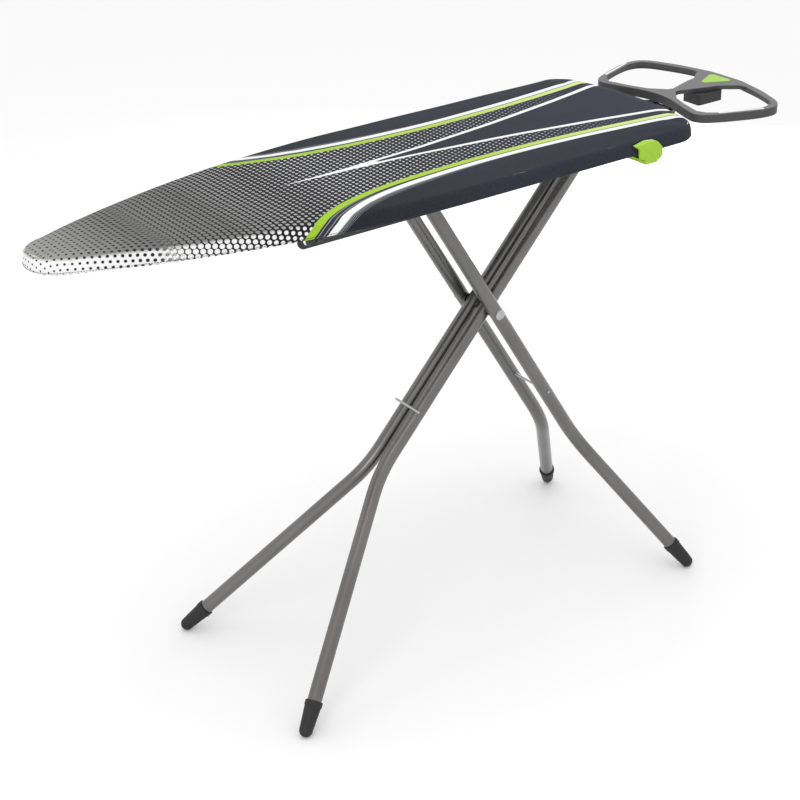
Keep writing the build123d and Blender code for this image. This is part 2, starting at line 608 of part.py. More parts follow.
# Assembly --------------------------------------------------------------------------------------

def assembly():
    """Every node, placed, with X measured from the board's nose."""
    rim_bar = swept(rim_path(), RIM_R)
    rail = guide_rail()
    nodes = {
        "cover": cover(),
        "underlay_pad": underlay(),
        "top_sheet": top_sheet(),
        "rim_frame": rim_bar - swept(rim_path(), RIM_R - RIM_WALL),
        "guide_rail_far": rail,
        "guide_rail_near": mirror(rail, Plane.XZ),
        "hinge_bracket": hinge_bracket(),
        "hinge_axle": headed_axle(HINGE_X, HINGE_Z, AXLE_R, EAR_Y + EAR_T + GAP, AXLE_R + 3, 3),
        "shaft_clips": shaft_clips(),
        "iron_rest": iron_rest(),
        "rest_socket": rest_socket(),
        "rest_badge": rest_badge(),
        "rest_strips": rest_strips(),
        "rest_holder": rest_holder(),
        "rest_wire": swept(rest_wire_path(), WIRE_R),
        "wire_saddles": wire_saddles(),
        "wire_clips": wire_clips(),
        "clip_screws": clip_screws(),
        "lever_handle": lever_handle(),
        "lever_shaft": lever_shaft(),
        "lever_spring": lever_spring(),
        "lock_bar": lock_bar(),
    }
    for name, x in rib_stations().items():
        nodes[name] = cross_rib(x, rim_bar)
    for name, shape in outer_frame().items():
        nodes[name] = stand_all(shape, OUTER_ANGLE)
    for name, shape in inner_frame().items():
        nodes[name] = stand_all(shape, 180 - INNER_ANGLE)
    return nodes


def stand_all(shape, angle):
    return [stand(item, angle) for item in shape] if isinstance(shape, list) else stand(shape, angle)


def main():
    os.makedirs("parts", exist_ok=True)
    shift = Pos(-TOTAL_LENGTH / 2, 0, 0)
    for name, shape in assembly().items():
        solids = [s for item in (shape if isinstance(shape, list) else [shape]) for s in item.solids()]
        moved = [shift * solid for solid in solids]
        export_step(moved[0] if len(moved) == 1 else Compound(children=moved), f"parts/{name}.step")
        print(name, len(moved), round(sum(s.volume for s in moved) / 1000, 1))


if __name__ == "__main__":
    main()
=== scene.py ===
from math import asin, atan2, ceil, cos, hypot, pi, radians, sin, sqrt

import bpy
from mathutils import Matrix, Vector
from mathutils.geometry import delaunay_2d_cdt


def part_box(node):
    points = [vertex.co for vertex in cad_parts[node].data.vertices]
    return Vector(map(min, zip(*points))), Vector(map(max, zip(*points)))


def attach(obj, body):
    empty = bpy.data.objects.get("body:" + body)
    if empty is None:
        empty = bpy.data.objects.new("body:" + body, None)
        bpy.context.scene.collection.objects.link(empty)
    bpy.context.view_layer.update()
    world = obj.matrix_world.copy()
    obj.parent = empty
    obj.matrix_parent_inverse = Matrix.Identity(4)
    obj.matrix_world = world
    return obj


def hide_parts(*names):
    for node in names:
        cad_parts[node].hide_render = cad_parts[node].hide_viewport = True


# Folding ironing board. The CAD pieces get their finishes here. The fabric cover, its stitching
# and the felt under it are made here. Lengths are metres, except in the print, which is in mm.
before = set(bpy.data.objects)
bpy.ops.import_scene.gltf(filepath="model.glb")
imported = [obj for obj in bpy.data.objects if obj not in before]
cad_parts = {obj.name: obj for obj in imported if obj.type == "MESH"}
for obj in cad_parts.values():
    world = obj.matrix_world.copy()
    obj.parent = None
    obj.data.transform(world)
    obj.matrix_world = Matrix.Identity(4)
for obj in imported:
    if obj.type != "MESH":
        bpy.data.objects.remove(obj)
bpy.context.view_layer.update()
scene = bpy.context.scene
MM = 0.001

# Camera. It stands beyond the nose on the lever's side and looks down along the board.
CAMERA_PLACE = (-1.70576, -2.28281, 1.91514)
CAMERA_YAW, CAMERA_PITCH, CAMERA_ROLL = radians(54.08), radians(27.30), radians(-0.852)
camera_data = bpy.data.cameras.new("camera")
camera_data.lens = 78.9
camera_data.clip_end = 50
camera = bpy.data.objects.new("camera", camera_data)
scene.collection.objects.link(camera)
ahead = Vector((cos(CAMERA_YAW) * cos(CAMERA_PITCH), sin(CAMERA_YAW) * cos(CAMERA_PITCH),
                -sin(CAMERA_PITCH)))
level = ahead.cross(Vector((0, 0, 1))).normalized()
upright = level.cross(ahead)
right = level * cos(CAMERA_ROLL) + upright * sin(CAMERA_ROLL)
above = upright * cos(CAMERA_ROLL) - level * sin(CAMERA_ROLL)
camera_turn = Matrix((right, above, -ahead)).transposed().to_4x4()
camera.matrix_world = Matrix.Translation(CAMERA_PLACE) @ camera_turn
scene.camera = camera

# Floor and light. A pale studio floor under a bright room, one broad lamp over the board,
# one low beside the camera and one low behind for the metal's edges.
world = bpy.data.worlds.new("studio")
scene.world = world
world.use_nodes = True
world.node_tree.nodes["Background"].inputs["Color"].default_value = (1.0, 1.0, 1.0, 1.0)
world.node_tree.nodes["Background"].inputs["Strength"].default_value = 1.0
scene.view_settings.view_transform = "Standard"


def lamp(name, place, target, width, power):
    """A square lamp facing a target."""
    data = bpy.data.lights.new(name, "AREA")
    data.size = width
    data.energy = power
    made = bpy.data.objects.new(name, data)
    made.location = place
    made.rotation_euler = (Vector(target) - Vector(place)).to_track_quat("-Z", "Y").to_euler()
    scene.collection.objects.link(made)


lamp("over_board", (-0.5, -0.4, 3.4), (0, 0, 0.9), 2.2, 16)
lamp("beside_camera", (-2.9, -1.6, 1.9), (0, 0, 0.5), 1.2, 14)
lamp("behind", (2.4, 1.9, 0.5), (0.3, 0, 0.6), 1.0, 12)

FLOOR_HALF = 9
floor_corners = [(x * FLOOR_HALF, y * FLOOR_HALF, 0) for x, y in ((-1, -1), (1, -1), (1, 1), (-1, 1))]
floor_mesh = bpy.data.meshes.new("floor")
floor_mesh.from_pydata(floor_corners, [], [(0, 1, 2, 3)])
floor = bpy.data.objects.new("floor", floor_mesh)
scene.collection.objects.link(floor)


class Value:
    """A number or colour on its way through a material's nodes; arithmetic adds Math nodes."""

    def __init__(self, tree, socket=None):
        self.tree, self.socket = tree, socket

    def node(self, kind, settings=None, inputs=None, out=0):
        """Any node: its settings, then the values or links of its sockets; gives one output."""
        made = self.tree.nodes.new(kind)
        for name, setting in (settings or {}).items():
            if name != "stops":
                setattr(made, name, setting)
                continue
            for place, (position, colour) in enumerate(setting):
                stops = made.color_ramp.elements
                stop = stops[place] if place < 2 else stops.new(position)
                stop.position, stop.color = position, (*colour, 1)
        for name, given in (inputs or {}).items():
            if isinstance(given, Value):
                self.tree.links.new(given.socket, made.inputs[name])
            else:
                made.inputs[name].default_value = given
        return Value(self.tree, made.outputs[out])

    def output(self, number):
        """Another output of the node that gave this value."""
        return Value(self.tree, self.socket.node.outputs[number])

    def math(self, operation, *terms, clamp=False):
        return self.node("ShaderNodeMath", {"operation": operation, "use_clamp": clamp},
                         dict(enumerate((self,) + terms)))

    def flipped(self, operation, term):
        return self.node("ShaderNodeMath", {"operation": operation}, {0: term, 1: self})

    def __add__(self, other): return self.math("ADD", other)
    def __radd__(self, other): return self.math("ADD", other)
    def __sub__(self, other): return self.math("SUBTRACT", other)
    def __rsub__(self, other): return self.flipped("SUBTRACT", other)
    def __mul__(self, other): return self.math("MULTIPLY", other)
    def __rmul__(self, other): return self.math("MULTIPLY", other)
    def __truediv__(self, other): return self.math("DIVIDE", other)
    def __pow__(self, other): return self.math("POWER", other)
    def __rpow__(self, other): return self.flipped("POWER", other)
    def __abs__(self): return self.math("ABSOLUTE")

    def ease(self, low, high):
        """0 below low and 1 above high, with a straight ramp between."""
        return (self - low).math("DIVIDE", high - low, clamp=True)

    def mix(self, first, second):
        """The first colour where this is 0, the second where it is 1."""
        colours = [given if isinstance(given, Value) else (*given, 1) for given in (first, second)]
        return self.node("ShaderNodeMix", {"data_type": "RGBA", "clamp_factor": True},
                         {0: self, 6: colours[0], 7: colours[1]}, 2)


def srgb(red, green, blue):
    """Linear colour of a printed or painted one, 0 to 255."""
    return tuple(((c / 255 + 0.055) / 1.055) ** 2.4 if c > 10 else c / 3295
                 for c in (red, green, blue))


def new_finish(name):
    """A material and its shader: gives the material, a start for its values and the shader node."""
    material = bpy.data.materials.new(name)
    material.use_nodes = True
    return material, Value(material.node_tree), material.node_tree.nodes["Principled BSDF"]


def feed(start, shader, **values):
    """Links values to the shader's sockets, or sets them; underscores stand for spaces."""
    for name, given in values.items():
        socket = shader.inputs[name.replace("_", " ")]
        if isinstance(given, Value):
            start.tree.links.new(given.socket, socket)
        else:
            socket.default_value = (*given, 1) if isinstance(given, tuple) else given


def plain_finish(name, colour, rough, metal=0.0, grain=900, depth=0.1, uneven=0.12, coat=0.0,
                 wear=None):
    """A finish with a fine grain, a slow change of shade and uneven gloss."""
    material, start, shader = new_finish(name)
    place = start.node("ShaderNodeTexCoord", out="Object")
    fine = start.node("ShaderNodeTexNoise", inputs={"Vector": place, "Scale": grain, "Detail": 3.0})
    slow = start.node("ShaderNodeTexNoise", inputs={"Vector": place, "Scale": 9.0, "Detail": 2.0})
    shade = slow.ease(0.3, 0.7)
    dark, light = ([min(1, c * (1 + side * uneven)) for c in colour] for side in (-1, 1))
    paint = shade.mix(tuple(dark), tuple(light))
    if wear:
        paint = fine.ease(0.58, 0.75).mix(paint, wear)
    bump = start.node("ShaderNodeBump",
                      inputs={"Strength": depth, "Distance": 0.0004, "Height": fine})
    feed(start, shader, Base_Color=paint, Roughness=rough + (fine - 0.5) * 0.12, Metallic=metal,
         Normal=bump, Coat_Weight=coat)
    return material


def coat_nodes(material, *names):
    """Puts a finish on CAD pieces."""
    for name in names:
        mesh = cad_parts[name].data
        mesh.materials.clear()
        mesh.materials.append(material)


def add_piece(name, mesh, material, body):
    """A new piece, riding on a body, with its finish from a slot."""
    made = bpy.data.objects.new(name, mesh)
    scene.collection.objects.link(made)
    mesh.materials.append(material)
    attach(made, body)
    return made


def smooth(mesh):
    """Shades a mesh as one curved surface."""
    for face in mesh.polygons:
        face.use_smooth = True


floor_finish, start, shader = new_finish("studio_floor")
feed(start, shader, Base_Color=(0.93, 0.93, 0.93), Roughness=0.9)
floor_mesh.materials.append(floor_finish)


# Cover. A real one is one cut of printed cotton, drawn over the pad and the rim by a cord in
# its hem. It is cut here as a fine triangle net with a skirt and a gathered hem.
cover_low, cover_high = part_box("cover")
NOSE_X = cover_low.x
LENGTH = cover_high.x - cover_low.x
HALF_WIDTH = cover_high.y
TOP, HEM = cover_high.z, cover_low.z
# the board's outline: round nose, long flanks, straight sides, tail corners, slightly bowed tail
NOSE_R, CORNER_R, TAIL_R, STRAIGHT = 0.054, 0.055, 0.600, 0.540
FLANK_X = LENGTH - STRAIGHT
FLANK_R = (FLANK_X**2 - 2 * FLANK_X * NOSE_R + HALF_WIDTH**2) / (2 * (HALF_WIDTH - NOSE_R))
CORNER_C = HALF_WIDTH - CORNER_R
CORNER_X = LENGTH - TAIL_R + sqrt((TAIL_R - CORNER_R) ** 2 - CORNER_C**2)

COVER_SPACING = 0.0105
ROW_RISE = 0.866                # between an even net's rows, as a share of its spacing
EDGE_MARGIN = 0.6               # nearest that the net comes to its ring, as a share of its spacing
# the cover's section: its net's depth under the top, its rounded edge, heights down the skirt,
# then the hem's insets and heights above the lowest point
NET_SINK, EDGE_ROUND = 0.0012, 0.008
ROUND_TURNS = (0.001, 0.4, 0.8, 1.2, pi / 2)
SKIRT_DROPS = (0.0125, 0.0165, 0.0200, 0.0230, 0.0255)
HEM_POINTS = ((0.0015, 0.0020), (0.0045, 0.0006), (0.010, 0.0003), (0.016, 0.0008),
              (0.022, 0.0012), (0.0255, 0.0013))
# the hem's gathers: where they begin, the inset at which they are full, their turn a point
GATHER_INSET, GATHER_DROP, GATHER_REACH, GATHER_TURN = 0.004, 0.02, 0.02, 2.1
GATHER_LIFT = 0.25
# the flat cut's square in the UV map, in mm: its side, and the nose tip's and middle line's places
CUT_SIDE, CUT_START, CUT_MIDDLE = 1500.0, 130.0, 750.0


def board_edge(spacing):
    """Points round the board's edge from the nose, with the outward direction at each."""
    nose_turn = pi / 2 - asin((FLANK_X - NOSE_R) / (FLANK_R - NOSE_R))
    tail_turn = asin(CORNER_C / (TAIL_R - CORNER_R))

    def arc(centre_x, centre_y, radius, first, last):
        steps = ceil(abs(last - first) * radius / spacing)
        turns = [first + (last - first) * i / steps for i in range(steps)]
        return [((centre_x + radius * cos(turn), centre_y + radius * sin(turn)),
                 (cos(turn), sin(turn))) for turn in turns]

    side = CORNER_X - FLANK_X
    steps = ceil(side / spacing)
    half = arc(NOSE_R, 0, NOSE_R, pi, pi - nose_turn)
    half += arc(FLANK_X, HALF_WIDTH - FLANK_R, FLANK_R, pi - nose_turn, pi / 2)
    half += [((FLANK_X + side * i / steps, HALF_WIDTH), (0, 1)) for i in range(steps)]
    half += arc(CORNER_X, CORNER_C, CORNER_R, pi / 2, tail_turn)
    half += arc(LENGTH - TAIL_R, 0, TAIL_R, tail_turn, 0)
    tip = ((LENGTH, 0), (1, 0))
    other = [((x, -y), (nx, -ny)) for (x, y), (nx, ny) in half[1:]]
    return half + [tip] + other[::-1]


def well_inside(ring, x, y, margin):
    """Whether a plan point lies inside a ring, further than the margin from the ring's points."""
    inside = False
    for i in range(len(ring)):
        (ax, ay), (bx, by) = ring[i - 1], ring[i]
        if hypot(ax - x, ay - y) <= margin:
            return False
        if (ay > y) != (by > y) and x < (bx - ax) * (y - ay) / (by - ay) + ax:
            inside = not inside
    return inside


def net_inside(ring, spacing):
    """Points and triangles filling a ring of plan points, the ring's own points first."""
    net = []
    for row in range(int(2 * HALF_WIDTH / (spacing * ROW_RISE)) + 2):
        y = -HALF_WIDTH + row * spacing * ROW_RISE
        x = (row % 2) * spacing / 2
        while x < LENGTH:
            if well_inside(ring, x, y, EDGE_MARGIN * spacing):
                net.append(Vector((x, y)))
            x += spacing
    edges = [(i, (i + 1) % len(ring)) for i in range(len(ring))]
    points, _, faces, origin, _, _ = delaunay_2d_cdt([Vector(p) for p in ring] + net, edges, [],
                                                     1, 1e-6)
    return points, faces, origin


def turning(points, face):
    """Above 0 where a plan triangle's corners run anticlockwise, below 0 where they run back."""
    a, b, c = (points[i] for i in face)
    return (b - a).cross(c - a)


def sewn_mesh(name, profile, spacing, wave=0.0):
    """Mesh from plan rings at (inset, height, cloth length from the top's edge), its top filled in.

    The flat cut's own places go in a UV map, and how far each point lies down the skirt goes in an
    attribute. Gives the mesh, the points of its last ring and every point's place on the cut."""
    edge = board_edge(spacing)
    first_inset, first_height, _ = profile[0]
    ring = [(x - nx * first_inset, y - ny * first_inset) for (x, y), (nx, ny) in edge]
    points, faces, origin = net_inside(ring, spacing)
    seat = {old: new for new, olds in enumerate(origin) for old in olds if old < len(ring)}
    verts = [(p.x + NOSE_X, p.y, first_height) for p in points]
    flat = [(p.x, p.y) for p in points]
    fall = [0.0] * len(points)
    faces = [tuple(f) if turning(points, f) > 0 else tuple(reversed(f)) for f in faces]
    last = [seat[i] for i in range(len(ring))]
    for inset, height, length in profile[1:]:
        row = []
        for i, ((x, y), (nx, ny)) in enumerate(edge):
            gather = 0.0
            if inset > GATHER_INSET and height < TOP - GATHER_DROP:
                gather = wave * sin(i * GATHER_TURN) * (inset - GATHER_INSET) / GATHER_REACH
            row.append(len(verts))
            verts.append((x - nx * (inset + gather) + NOSE_X, y - ny * (inset + gather),
                          height + abs(gather) * GATHER_LIFT))
            flat.append((x + nx * (length - first_inset), y + ny * (length - first_inset)))
            fall.append(length)
        for i in range(len(row)):
            after = (i + 1) % len(row)
            faces.append((last[after], row[after], row[i], last[i]))
        last = row
    mesh = bpy.data.meshes.new(name)
    mesh.from_pydata(verts, [], faces)
    layer = mesh.uv_layers.new(name="flat_cut")
    for loop in mesh.loops:
        x, y = flat[loop.vertex_index]
        layer.data[loop.index].uv = ((x + CUT_START * MM) / (CUT_SIDE * MM),
                                     (y + CUT_MIDDLE * MM) / (CUT_SIDE * MM))
    down = mesh.attributes.new("fall", "FLOAT", "POINT")
    for i, value in enumerate(fall):
        down.data[i].value = value
    return mesh, last, flat


def cover_profile():
    """Rings of the cover from its top's edge over the skirt to the hem, with the cloth's length."""
    top = TOP - NET_SINK
    rings = [(EDGE_ROUND + 0.004, top)]
    rings += [(EDGE_ROUND * (1 - sin(a)), top - EDGE_ROUND * (1 - cos(a))) for a in ROUND_TURNS]
    rings += [(0.0, top - drop) for drop in SKIRT_DROPS]
    rings += [(inset, HEM + height) for inset, height in HEM_POINTS]
    length, path = 0.0, [(*rings[0], 0.0)]
    for (a, b), (c, d) in zip(rings, rings[1:]):
        length += hypot(c - a, d - b)
        path.append((c, d, length))
    return path


cover_mesh, hem_row, flat_points = sewn_mesh("cover_cloth", cover_profile(), COVER_SPACING,
                                             wave=0.004)

# the cloth simulation: stiff cotton, its skirt held below a length of cloth, a weak push from
# the pad, and a cap on how far any point may move
CLOTH = {"quality": 4, "mass": 0.25, "tension_stiffness": 40, "compression_stiffness": 40,
         "shear_stiffness": 20, "bending_stiffness": 1.5, "vertex_group_mass": "held",
         "use_pressure": True, "uniform_pressure_force": 3.0}
HELD_FROM, SETTLE_STEPS, MOVE_CAP = 0.022, 14, 0.0022


def drawn_tight(mesh):
    """The sewn cover settled by cloth simulation: the pad lifts it a little between its edges."""
    trial = bpy.data.objects.new("trial", mesh.copy())
    scene.collection.objects.link(trial)
    held = trial.vertex_groups.new(name="held")
    fall = mesh.attributes["fall"]
    held.add([v.index for v in mesh.vertices if fall.data[v.index].value > HELD_FROM], 1.0,
             "REPLACE")
    cloth = trial.modifiers.new("cloth", "CLOTH")
    for name, setting in CLOTH.items():
        setattr(cloth.settings, name, setting)
    cloth.settings.effector_weights.gravity = 0
    for step in range(1, SETTLE_STEPS + 1):
        scene.frame_set(step)
    settled = trial.evaluated_get(bpy.context.evaluated_depsgraph_get()).data
    moves = [settled.vertices[v.index].co - v.co for v in mesh.vertices]
    scene.frame_set(1)
    bpy.data.objects.remove(trial)
    for v, move in zip(mesh.vertices, moves):
        v.co += move * min(1.0, MOVE_CAP / max(move.length, 1e-9))


drawn_tight(cover_mesh)

# slight unevenness that drawn cloth over felt keeps, on the top and round the skirt
TOP_BAND, HEM_BAND = 0.006, 0.004
TOP_WAVE, SKIRT_WAVE = 0.00025, 0.0006
for v in cover_mesh.vertices:
    x, y = v.co.x - NOSE_X, v.co.y
    if v.co.z > TOP - TOP_BAND:
        v.co.z += TOP_WAVE * sin(x * 31 + 2.0 * sin(y * 23)) * sin(y * 17 + 1.3 + 0.8 * sin(x * 9))
    elif v.co.z > HEM + HEM_BAND:
        around = atan2(y, x - 0.6) * 9 + x * 22
        outward = SKIRT_WAVE * sin(around) * sin(2.3 * around + 1)
        v.co.y += outward * (1 if y > 0 else -1)
cover_mesh.update()

# The print, in mm along the flat cut from the nose's tip and across from its middle line.
SWEEP_START, SWEEP_RATE = 380.0, 112.0                        # the green stripe's sweep inwards
GREEN_TAIL, GREEN_SPREAD, GREEN_SLOPE = 89.0, 108.0, 0.964
BOW_START, BOW_RATE = 760.0, 0.00017                          # its slight bow near the tail
WHITE_GAP, WHITE_SPREAD, WHITE_START, WHITE_RATE = 15.0, 20.0, 430.0, 110.0
CENTRE_START, CENTRE_RATE, CENTRE_POWER, CENTRE_SPREAD = 500.0, 155.0, 1.7, 7.0
DOT_COLUMN, DOT_ROW, DOT_EDGE = 10.2, 9.6, 0.4
GREEN_HALF, WHITE_HALF = 6.4, 6.2
HAIRLINES = ((7.5, 0.75, 900.0), (10.5, 0.55, 820.0),         # beside the white stripe: distance,
             (13.5, 0.38, 760.0), (16.5, 0.22, 700.0))        # strength and end
GAP_LINES = (0.35, 0.62)                                      # shares of the way, green to white

cotton, start, shader = new_finish("printed_cotton")
place = start.node("ShaderNodeUVMap", {"uv_map": "flat_cut"})
split = start.node("ShaderNodeSeparateXYZ", inputs={0: place})
along = split * CUT_SIDE - CUT_START
across = abs(split.output(1) * CUT_SIDE - CUT_MIDDLE)
fall = start.node("ShaderNodeAttribute", {"attribute_name": "fall"}, out="Fac") * (1 / MM)


def power_of_e(value):
    return 2.718282 ** value


def stripe(distance, half):
    """1 inside a printed stripe, with a soft edge about a millimetre wide."""
    return 1.0 - abs(distance).ease(half - 0.4, half + 0.5)


def printed_dot(distance, size):
    """1 inside a printed dot."""
    return 1.0 - (distance - size).ease(-DOT_EDGE, DOT_EDGE)


sweep_in = power_of_e((along - SWEEP_START) / -SWEEP_RATE)
bow = (along - BOW_START).math("MAXIMUM", 0.0) ** 2.0 * BOW_RATE
green_line = GREEN_TAIL + GREEN_SPREAD * sweep_in + bow
slant = ((GREEN_SLOPE * sweep_in) ** 2.0 + 1.0) ** 0.5
white_line = green_line + WHITE_GAP + WHITE_SPREAD * power_of_e((along - WHITE_START) / -WHITE_RATE)
past_start = (along - CENTRE_START).math("MAXIMUM", 0.001)
centre_line = (past_start / CENTRE_RATE) ** CENTRE_POWER * CENTRE_SPREAD
from_green = (across - green_line) / slant
from_white = (across - white_line) / slant
from_centre = across - centre_line

# dots on a staggered lattice: every second column is shifted by half a row
column = (along / DOT_COLUMN).math("FLOOR")
odd = abs(column.math("MODULO", 2.0))
dot_x = along - (column + 0.5) * DOT_COLUMN


def from_lattice(shift):
    """Distance from the nearest dot, where the columns with a shift of 1 are the shifted ones."""
    row = (across + shift * (DOT_ROW / 2)) / DOT_ROW
    dot_y = (row - (row + 0.5).math("FLOOR")) * DOT_ROW
    return (dot_x * dot_x + dot_y * dot_y) ** 0.5


black_size = 1.7 + 1.5 * along.ease(0.0, 180.0)
light_size = (4.75 - 0.75 * along.ease(190.0, 320.0) - 1.4 * along.ease(320.0, 440.0)
              - 0.75 * along.ease(520.0, 800.0))
black_dot = printed_dot(from_lattice(1.0 - odd), black_size)
light_dot = printed_dot(from_lattice(odd), light_size)

# grounds: black dots on grey at the nose, light dots on black along the middle, plain panels
flipped = along.ease(165.0, 205.0)
grey = along.ease(0.0, 160.0).mix(srgb(150, 150, 146), srgb(112, 112, 110))
nose_ground = fall.ease(8.0, 14.0).mix(grey, srgb(232, 232, 232))
nose_print = black_dot.mix(nose_ground, srgb(26, 26, 28))
dark = along.ease(420.0, 1120.0).mix(srgb(14, 14, 16), srgb(44, 47, 60))
dot_paint = along.ease(300.0, 560.0).mix(srgb(118, 118, 116), srgb(214, 214, 216))
dot_paint = fall.ease(8.0, 14.0).mix(dot_paint, srgb(232, 232, 232))
fade = 1.0 - along.ease(860.0, 1150.0)
middle_print = (light_dot * fade).mix(dark, dot_paint)
dotted = flipped.mix(nose_print, middle_print)
side_panel = along.ease(430.0, 800.0).mix(srgb(24, 25, 31), srgb(38, 41, 52))
past_green = from_green.ease(0.0, 1.0) * along.ease(330.0, 345.0)
ground = past_green.mix(dotted, side_panel)
between = stripe(across - (green_line + white_line) / 2.0, (white_line - green_line) / 2.0)
ground = (between * along.ease(340.0, 400.0) * 0.85).mix(ground, srgb(44, 47, 58))

# the green and white stripes, then the hairlines along them
green_paint = start.node("ShaderNodeValToRGB", {"stops": [
    (0.25, srgb(146, 190, 26)), (1.0, srgb(222, 232, 160)), (0.62, srgb(176, 204, 80))]},
    {0: along / 1300.0})
on_green = stripe(from_green, GREEN_HALF) * along.ease(335.0, 350.0)
on_white = stripe(from_white, WHITE_HALF) * along.ease(345.0, 365.0)
printed = on_green.mix(ground, green_paint)
printed = on_white.mix(printed, srgb(236, 236, 236))
for offset, strength, until in HAIRLINES:
    hair = (stripe(from_white - offset, 0.55) * along.ease(360.0, 420.0)
            * (1.0 - along.ease(until - 160, until)) * strength)
    printed = hair.mix(printed, srgb(190, 192, 200))
for share in GAP_LINES:
    gap_line = from_green - (white_line - green_line) / slant * share
    hair = (stripe(gap_line, 0.5) * along.ease(380.0, 410.0)
            * (1.0 - along.ease(500.0, 600.0)) * 0.6)
    printed = hair.mix(printed, srgb(214, 214, 214))

# the white centre lines, from a tip that splits in two, with a plain wedge between them
centre_half = 3.4 + along.ease(650.0, 1200.0) * 1.8
tapered = 5.0 * along.ease(458.0, 575.0)
near_tip = stripe(across, tapered) * along.ease(458.0, 462.0) * (1.0 - along.ease(640.0, 650.0))
wedge = (1.0 - from_centre.ease(-0.5, 0.5)) * along.ease(600.0, 620.0)
printed = wedge.mix(printed, along.ease(600.0, 1200.0).mix(srgb(34, 36, 46), srgb(44, 47, 60)))
on_centre = stripe(from_centre, centre_half) * along.ease(590.0, 600.0)
printed = on_centre.math("MAXIMUM", near_tip).mix(printed, srgb(238, 238, 238))
# painted shade: the cloth past 33 mm down from the top's edge, where the hem turns under, is darkened
hem_painted_shade = fall.ease(33.0, 42.0)
printed = (hem_painted_shade * 0.35 * along.ease(300.0, 380.0)).mix(printed, srgb(24, 24, 30))

# the weave, with a fine mottle and slow fading over the print
warp, weft = (start.node("ShaderNodeTexWave", {"wave_type": "BANDS", "bands_direction": direction},
                         {"Vector": place, "Scale": 620.0, "Distortion": 1.5, "Detail": 1.0})
              for direction in ("X", "Y"))
mottle = start.node("ShaderNodeTexNoise", inputs={"Vector": place, "Scale": 260.0, "Detail": 4.0})
faded = start.node("ShaderNodeTexNoise", inputs={"Vector": place, "Scale": 7.0, "Detail": 2.0})
printed = (mottle.ease(0.35, 0.75) * 0.05).mix(printed, srgb(120, 122, 130))
printed = (faded.ease(0.4, 0.7) * 0.05).mix(printed, srgb(20, 20, 26))
cloth_bump = start.node("ShaderNodeBump", inputs={
    "Strength": 0.35, "Distance": 0.0003, "Height": warp * 0.5 + weft * 0.5 + mottle * 0.6})
feed(start, shader, Base_Color=printed, Roughness=0.82 + (mottle - 0.5) * 0.1, Normal=cloth_bump,
     Specular_IOR_Level=0.25)

cover = add_piece("cover_cloth", cover_mesh, cotton, "board")
wall = cover.modifiers.new("cloth_thickness", "SOLIDIFY")
wall.thickness = 0.0011
wall.offset = -1
fold = cover.modifiers.new("soft_folds", "SUBSURF")
fold.levels = fold.render_levels = 1
smooth(cover_mesh)
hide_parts("cover")
cut = [flat_points[i] for i in hem_row]
cut_area = abs(sum(a[0] * b[1] - b[0] * a[1] for a, b in zip(cut, cut[1:] + cut[:1]))) / 2
cut_length = max(x for x, _ in cut) - min(x for x, _ in cut)
cut_width = max(y for _, y in cut) * 2


# Hem stitching. A lockstitch row in dark thread runs round the skirt just above the fold.
STITCH_PITCH, STITCH_LENGTH, STITCH_R = 0.0044, 0.0030, 0.00042
SEAM_DROP, SEAM_OUT, SEAM_SPACING = 0.0245, 0.0002, 0.006


def stitch_tree(thread):
    """Stitches along a curve: spaced out, laid along it, made real and given the thread."""
    tree = bpy.data.node_groups.new("stitches", "GeometryNodeTree")
    sockets = {}
    for name, kind in (("Seam", "NodeSocketGeometry"), ("Pitch", "NodeSocketFloat"),
                       ("Length", "NodeSocketFloat"), ("Radius", "NodeSocketFloat")):
        sockets[name] = tree.interface.new_socket(name, in_out="INPUT", socket_type=kind)
    tree.interface.new_socket("Stitches", in_out="OUTPUT", socket_type="NodeSocketGeometry")
    given, result = tree.nodes.new("NodeGroupInput"), tree.nodes.new("NodeGroupOutput")
    curve = tree.nodes.new("GeometryNodeMeshToCurve")
    spaced = tree.nodes.new("GeometryNodeCurveToPoints")
    spaced.mode = "LENGTH"
    bead = tree.nodes.new("GeometryNodeMeshCylinder")
    bead.inputs["Vertices"].default_value = 6
    laid = tree.nodes.new("GeometryNodeInstanceOnPoints")
    real = tree.nodes.new("GeometryNodeRealizeInstances")
    finish = tree.nodes.new("GeometryNodeSetMaterial")
    finish.inputs["Material"].default_value = thread
    for source, out, target, into in (
            (given, "Seam", curve, "Mesh"), (curve, "Curve", spaced, "Curve"),
            (given, "Pitch", spaced, "Length"), (given, "Length", bead, "Depth"),
            (given, "Radius", bead, "Radius"), (spaced, "Points", laid, "Points"),
            (spaced, "Rotation", laid, "Rotation"), (bead, "Mesh", laid, "Instance"),
            (laid, "Instances", real, "Geometry"), (real, "Geometry", finish, "Geometry"),
            (finish, "Geometry", result, "Stitches")):
        tree.links.new(source.outputs[out], target.inputs[into])
    return tree, {name: socket.identifier for name, socket in sockets.items()}


def grown(name, mesh, tree, settings):
    """The mesh that a node tree makes from a plain one, with its inputs set."""
    seed = bpy.data.objects.new(name, mesh)
    scene.collection.objects.link(seed)
    modifier = seed.modifiers.new("make", "NODES")
    modifier.node_group = tree
    for identifier, value in settings.items():
        modifier[identifier] = value
    bpy.context.view_layer.update()
    made = bpy.data.meshes.new_from_object(
        seed.evaluated_get(bpy.context.evaluated_depsgraph_get()))
    seed.modifiers.clear()
    bpy.data.objects.remove(seed)
    return made


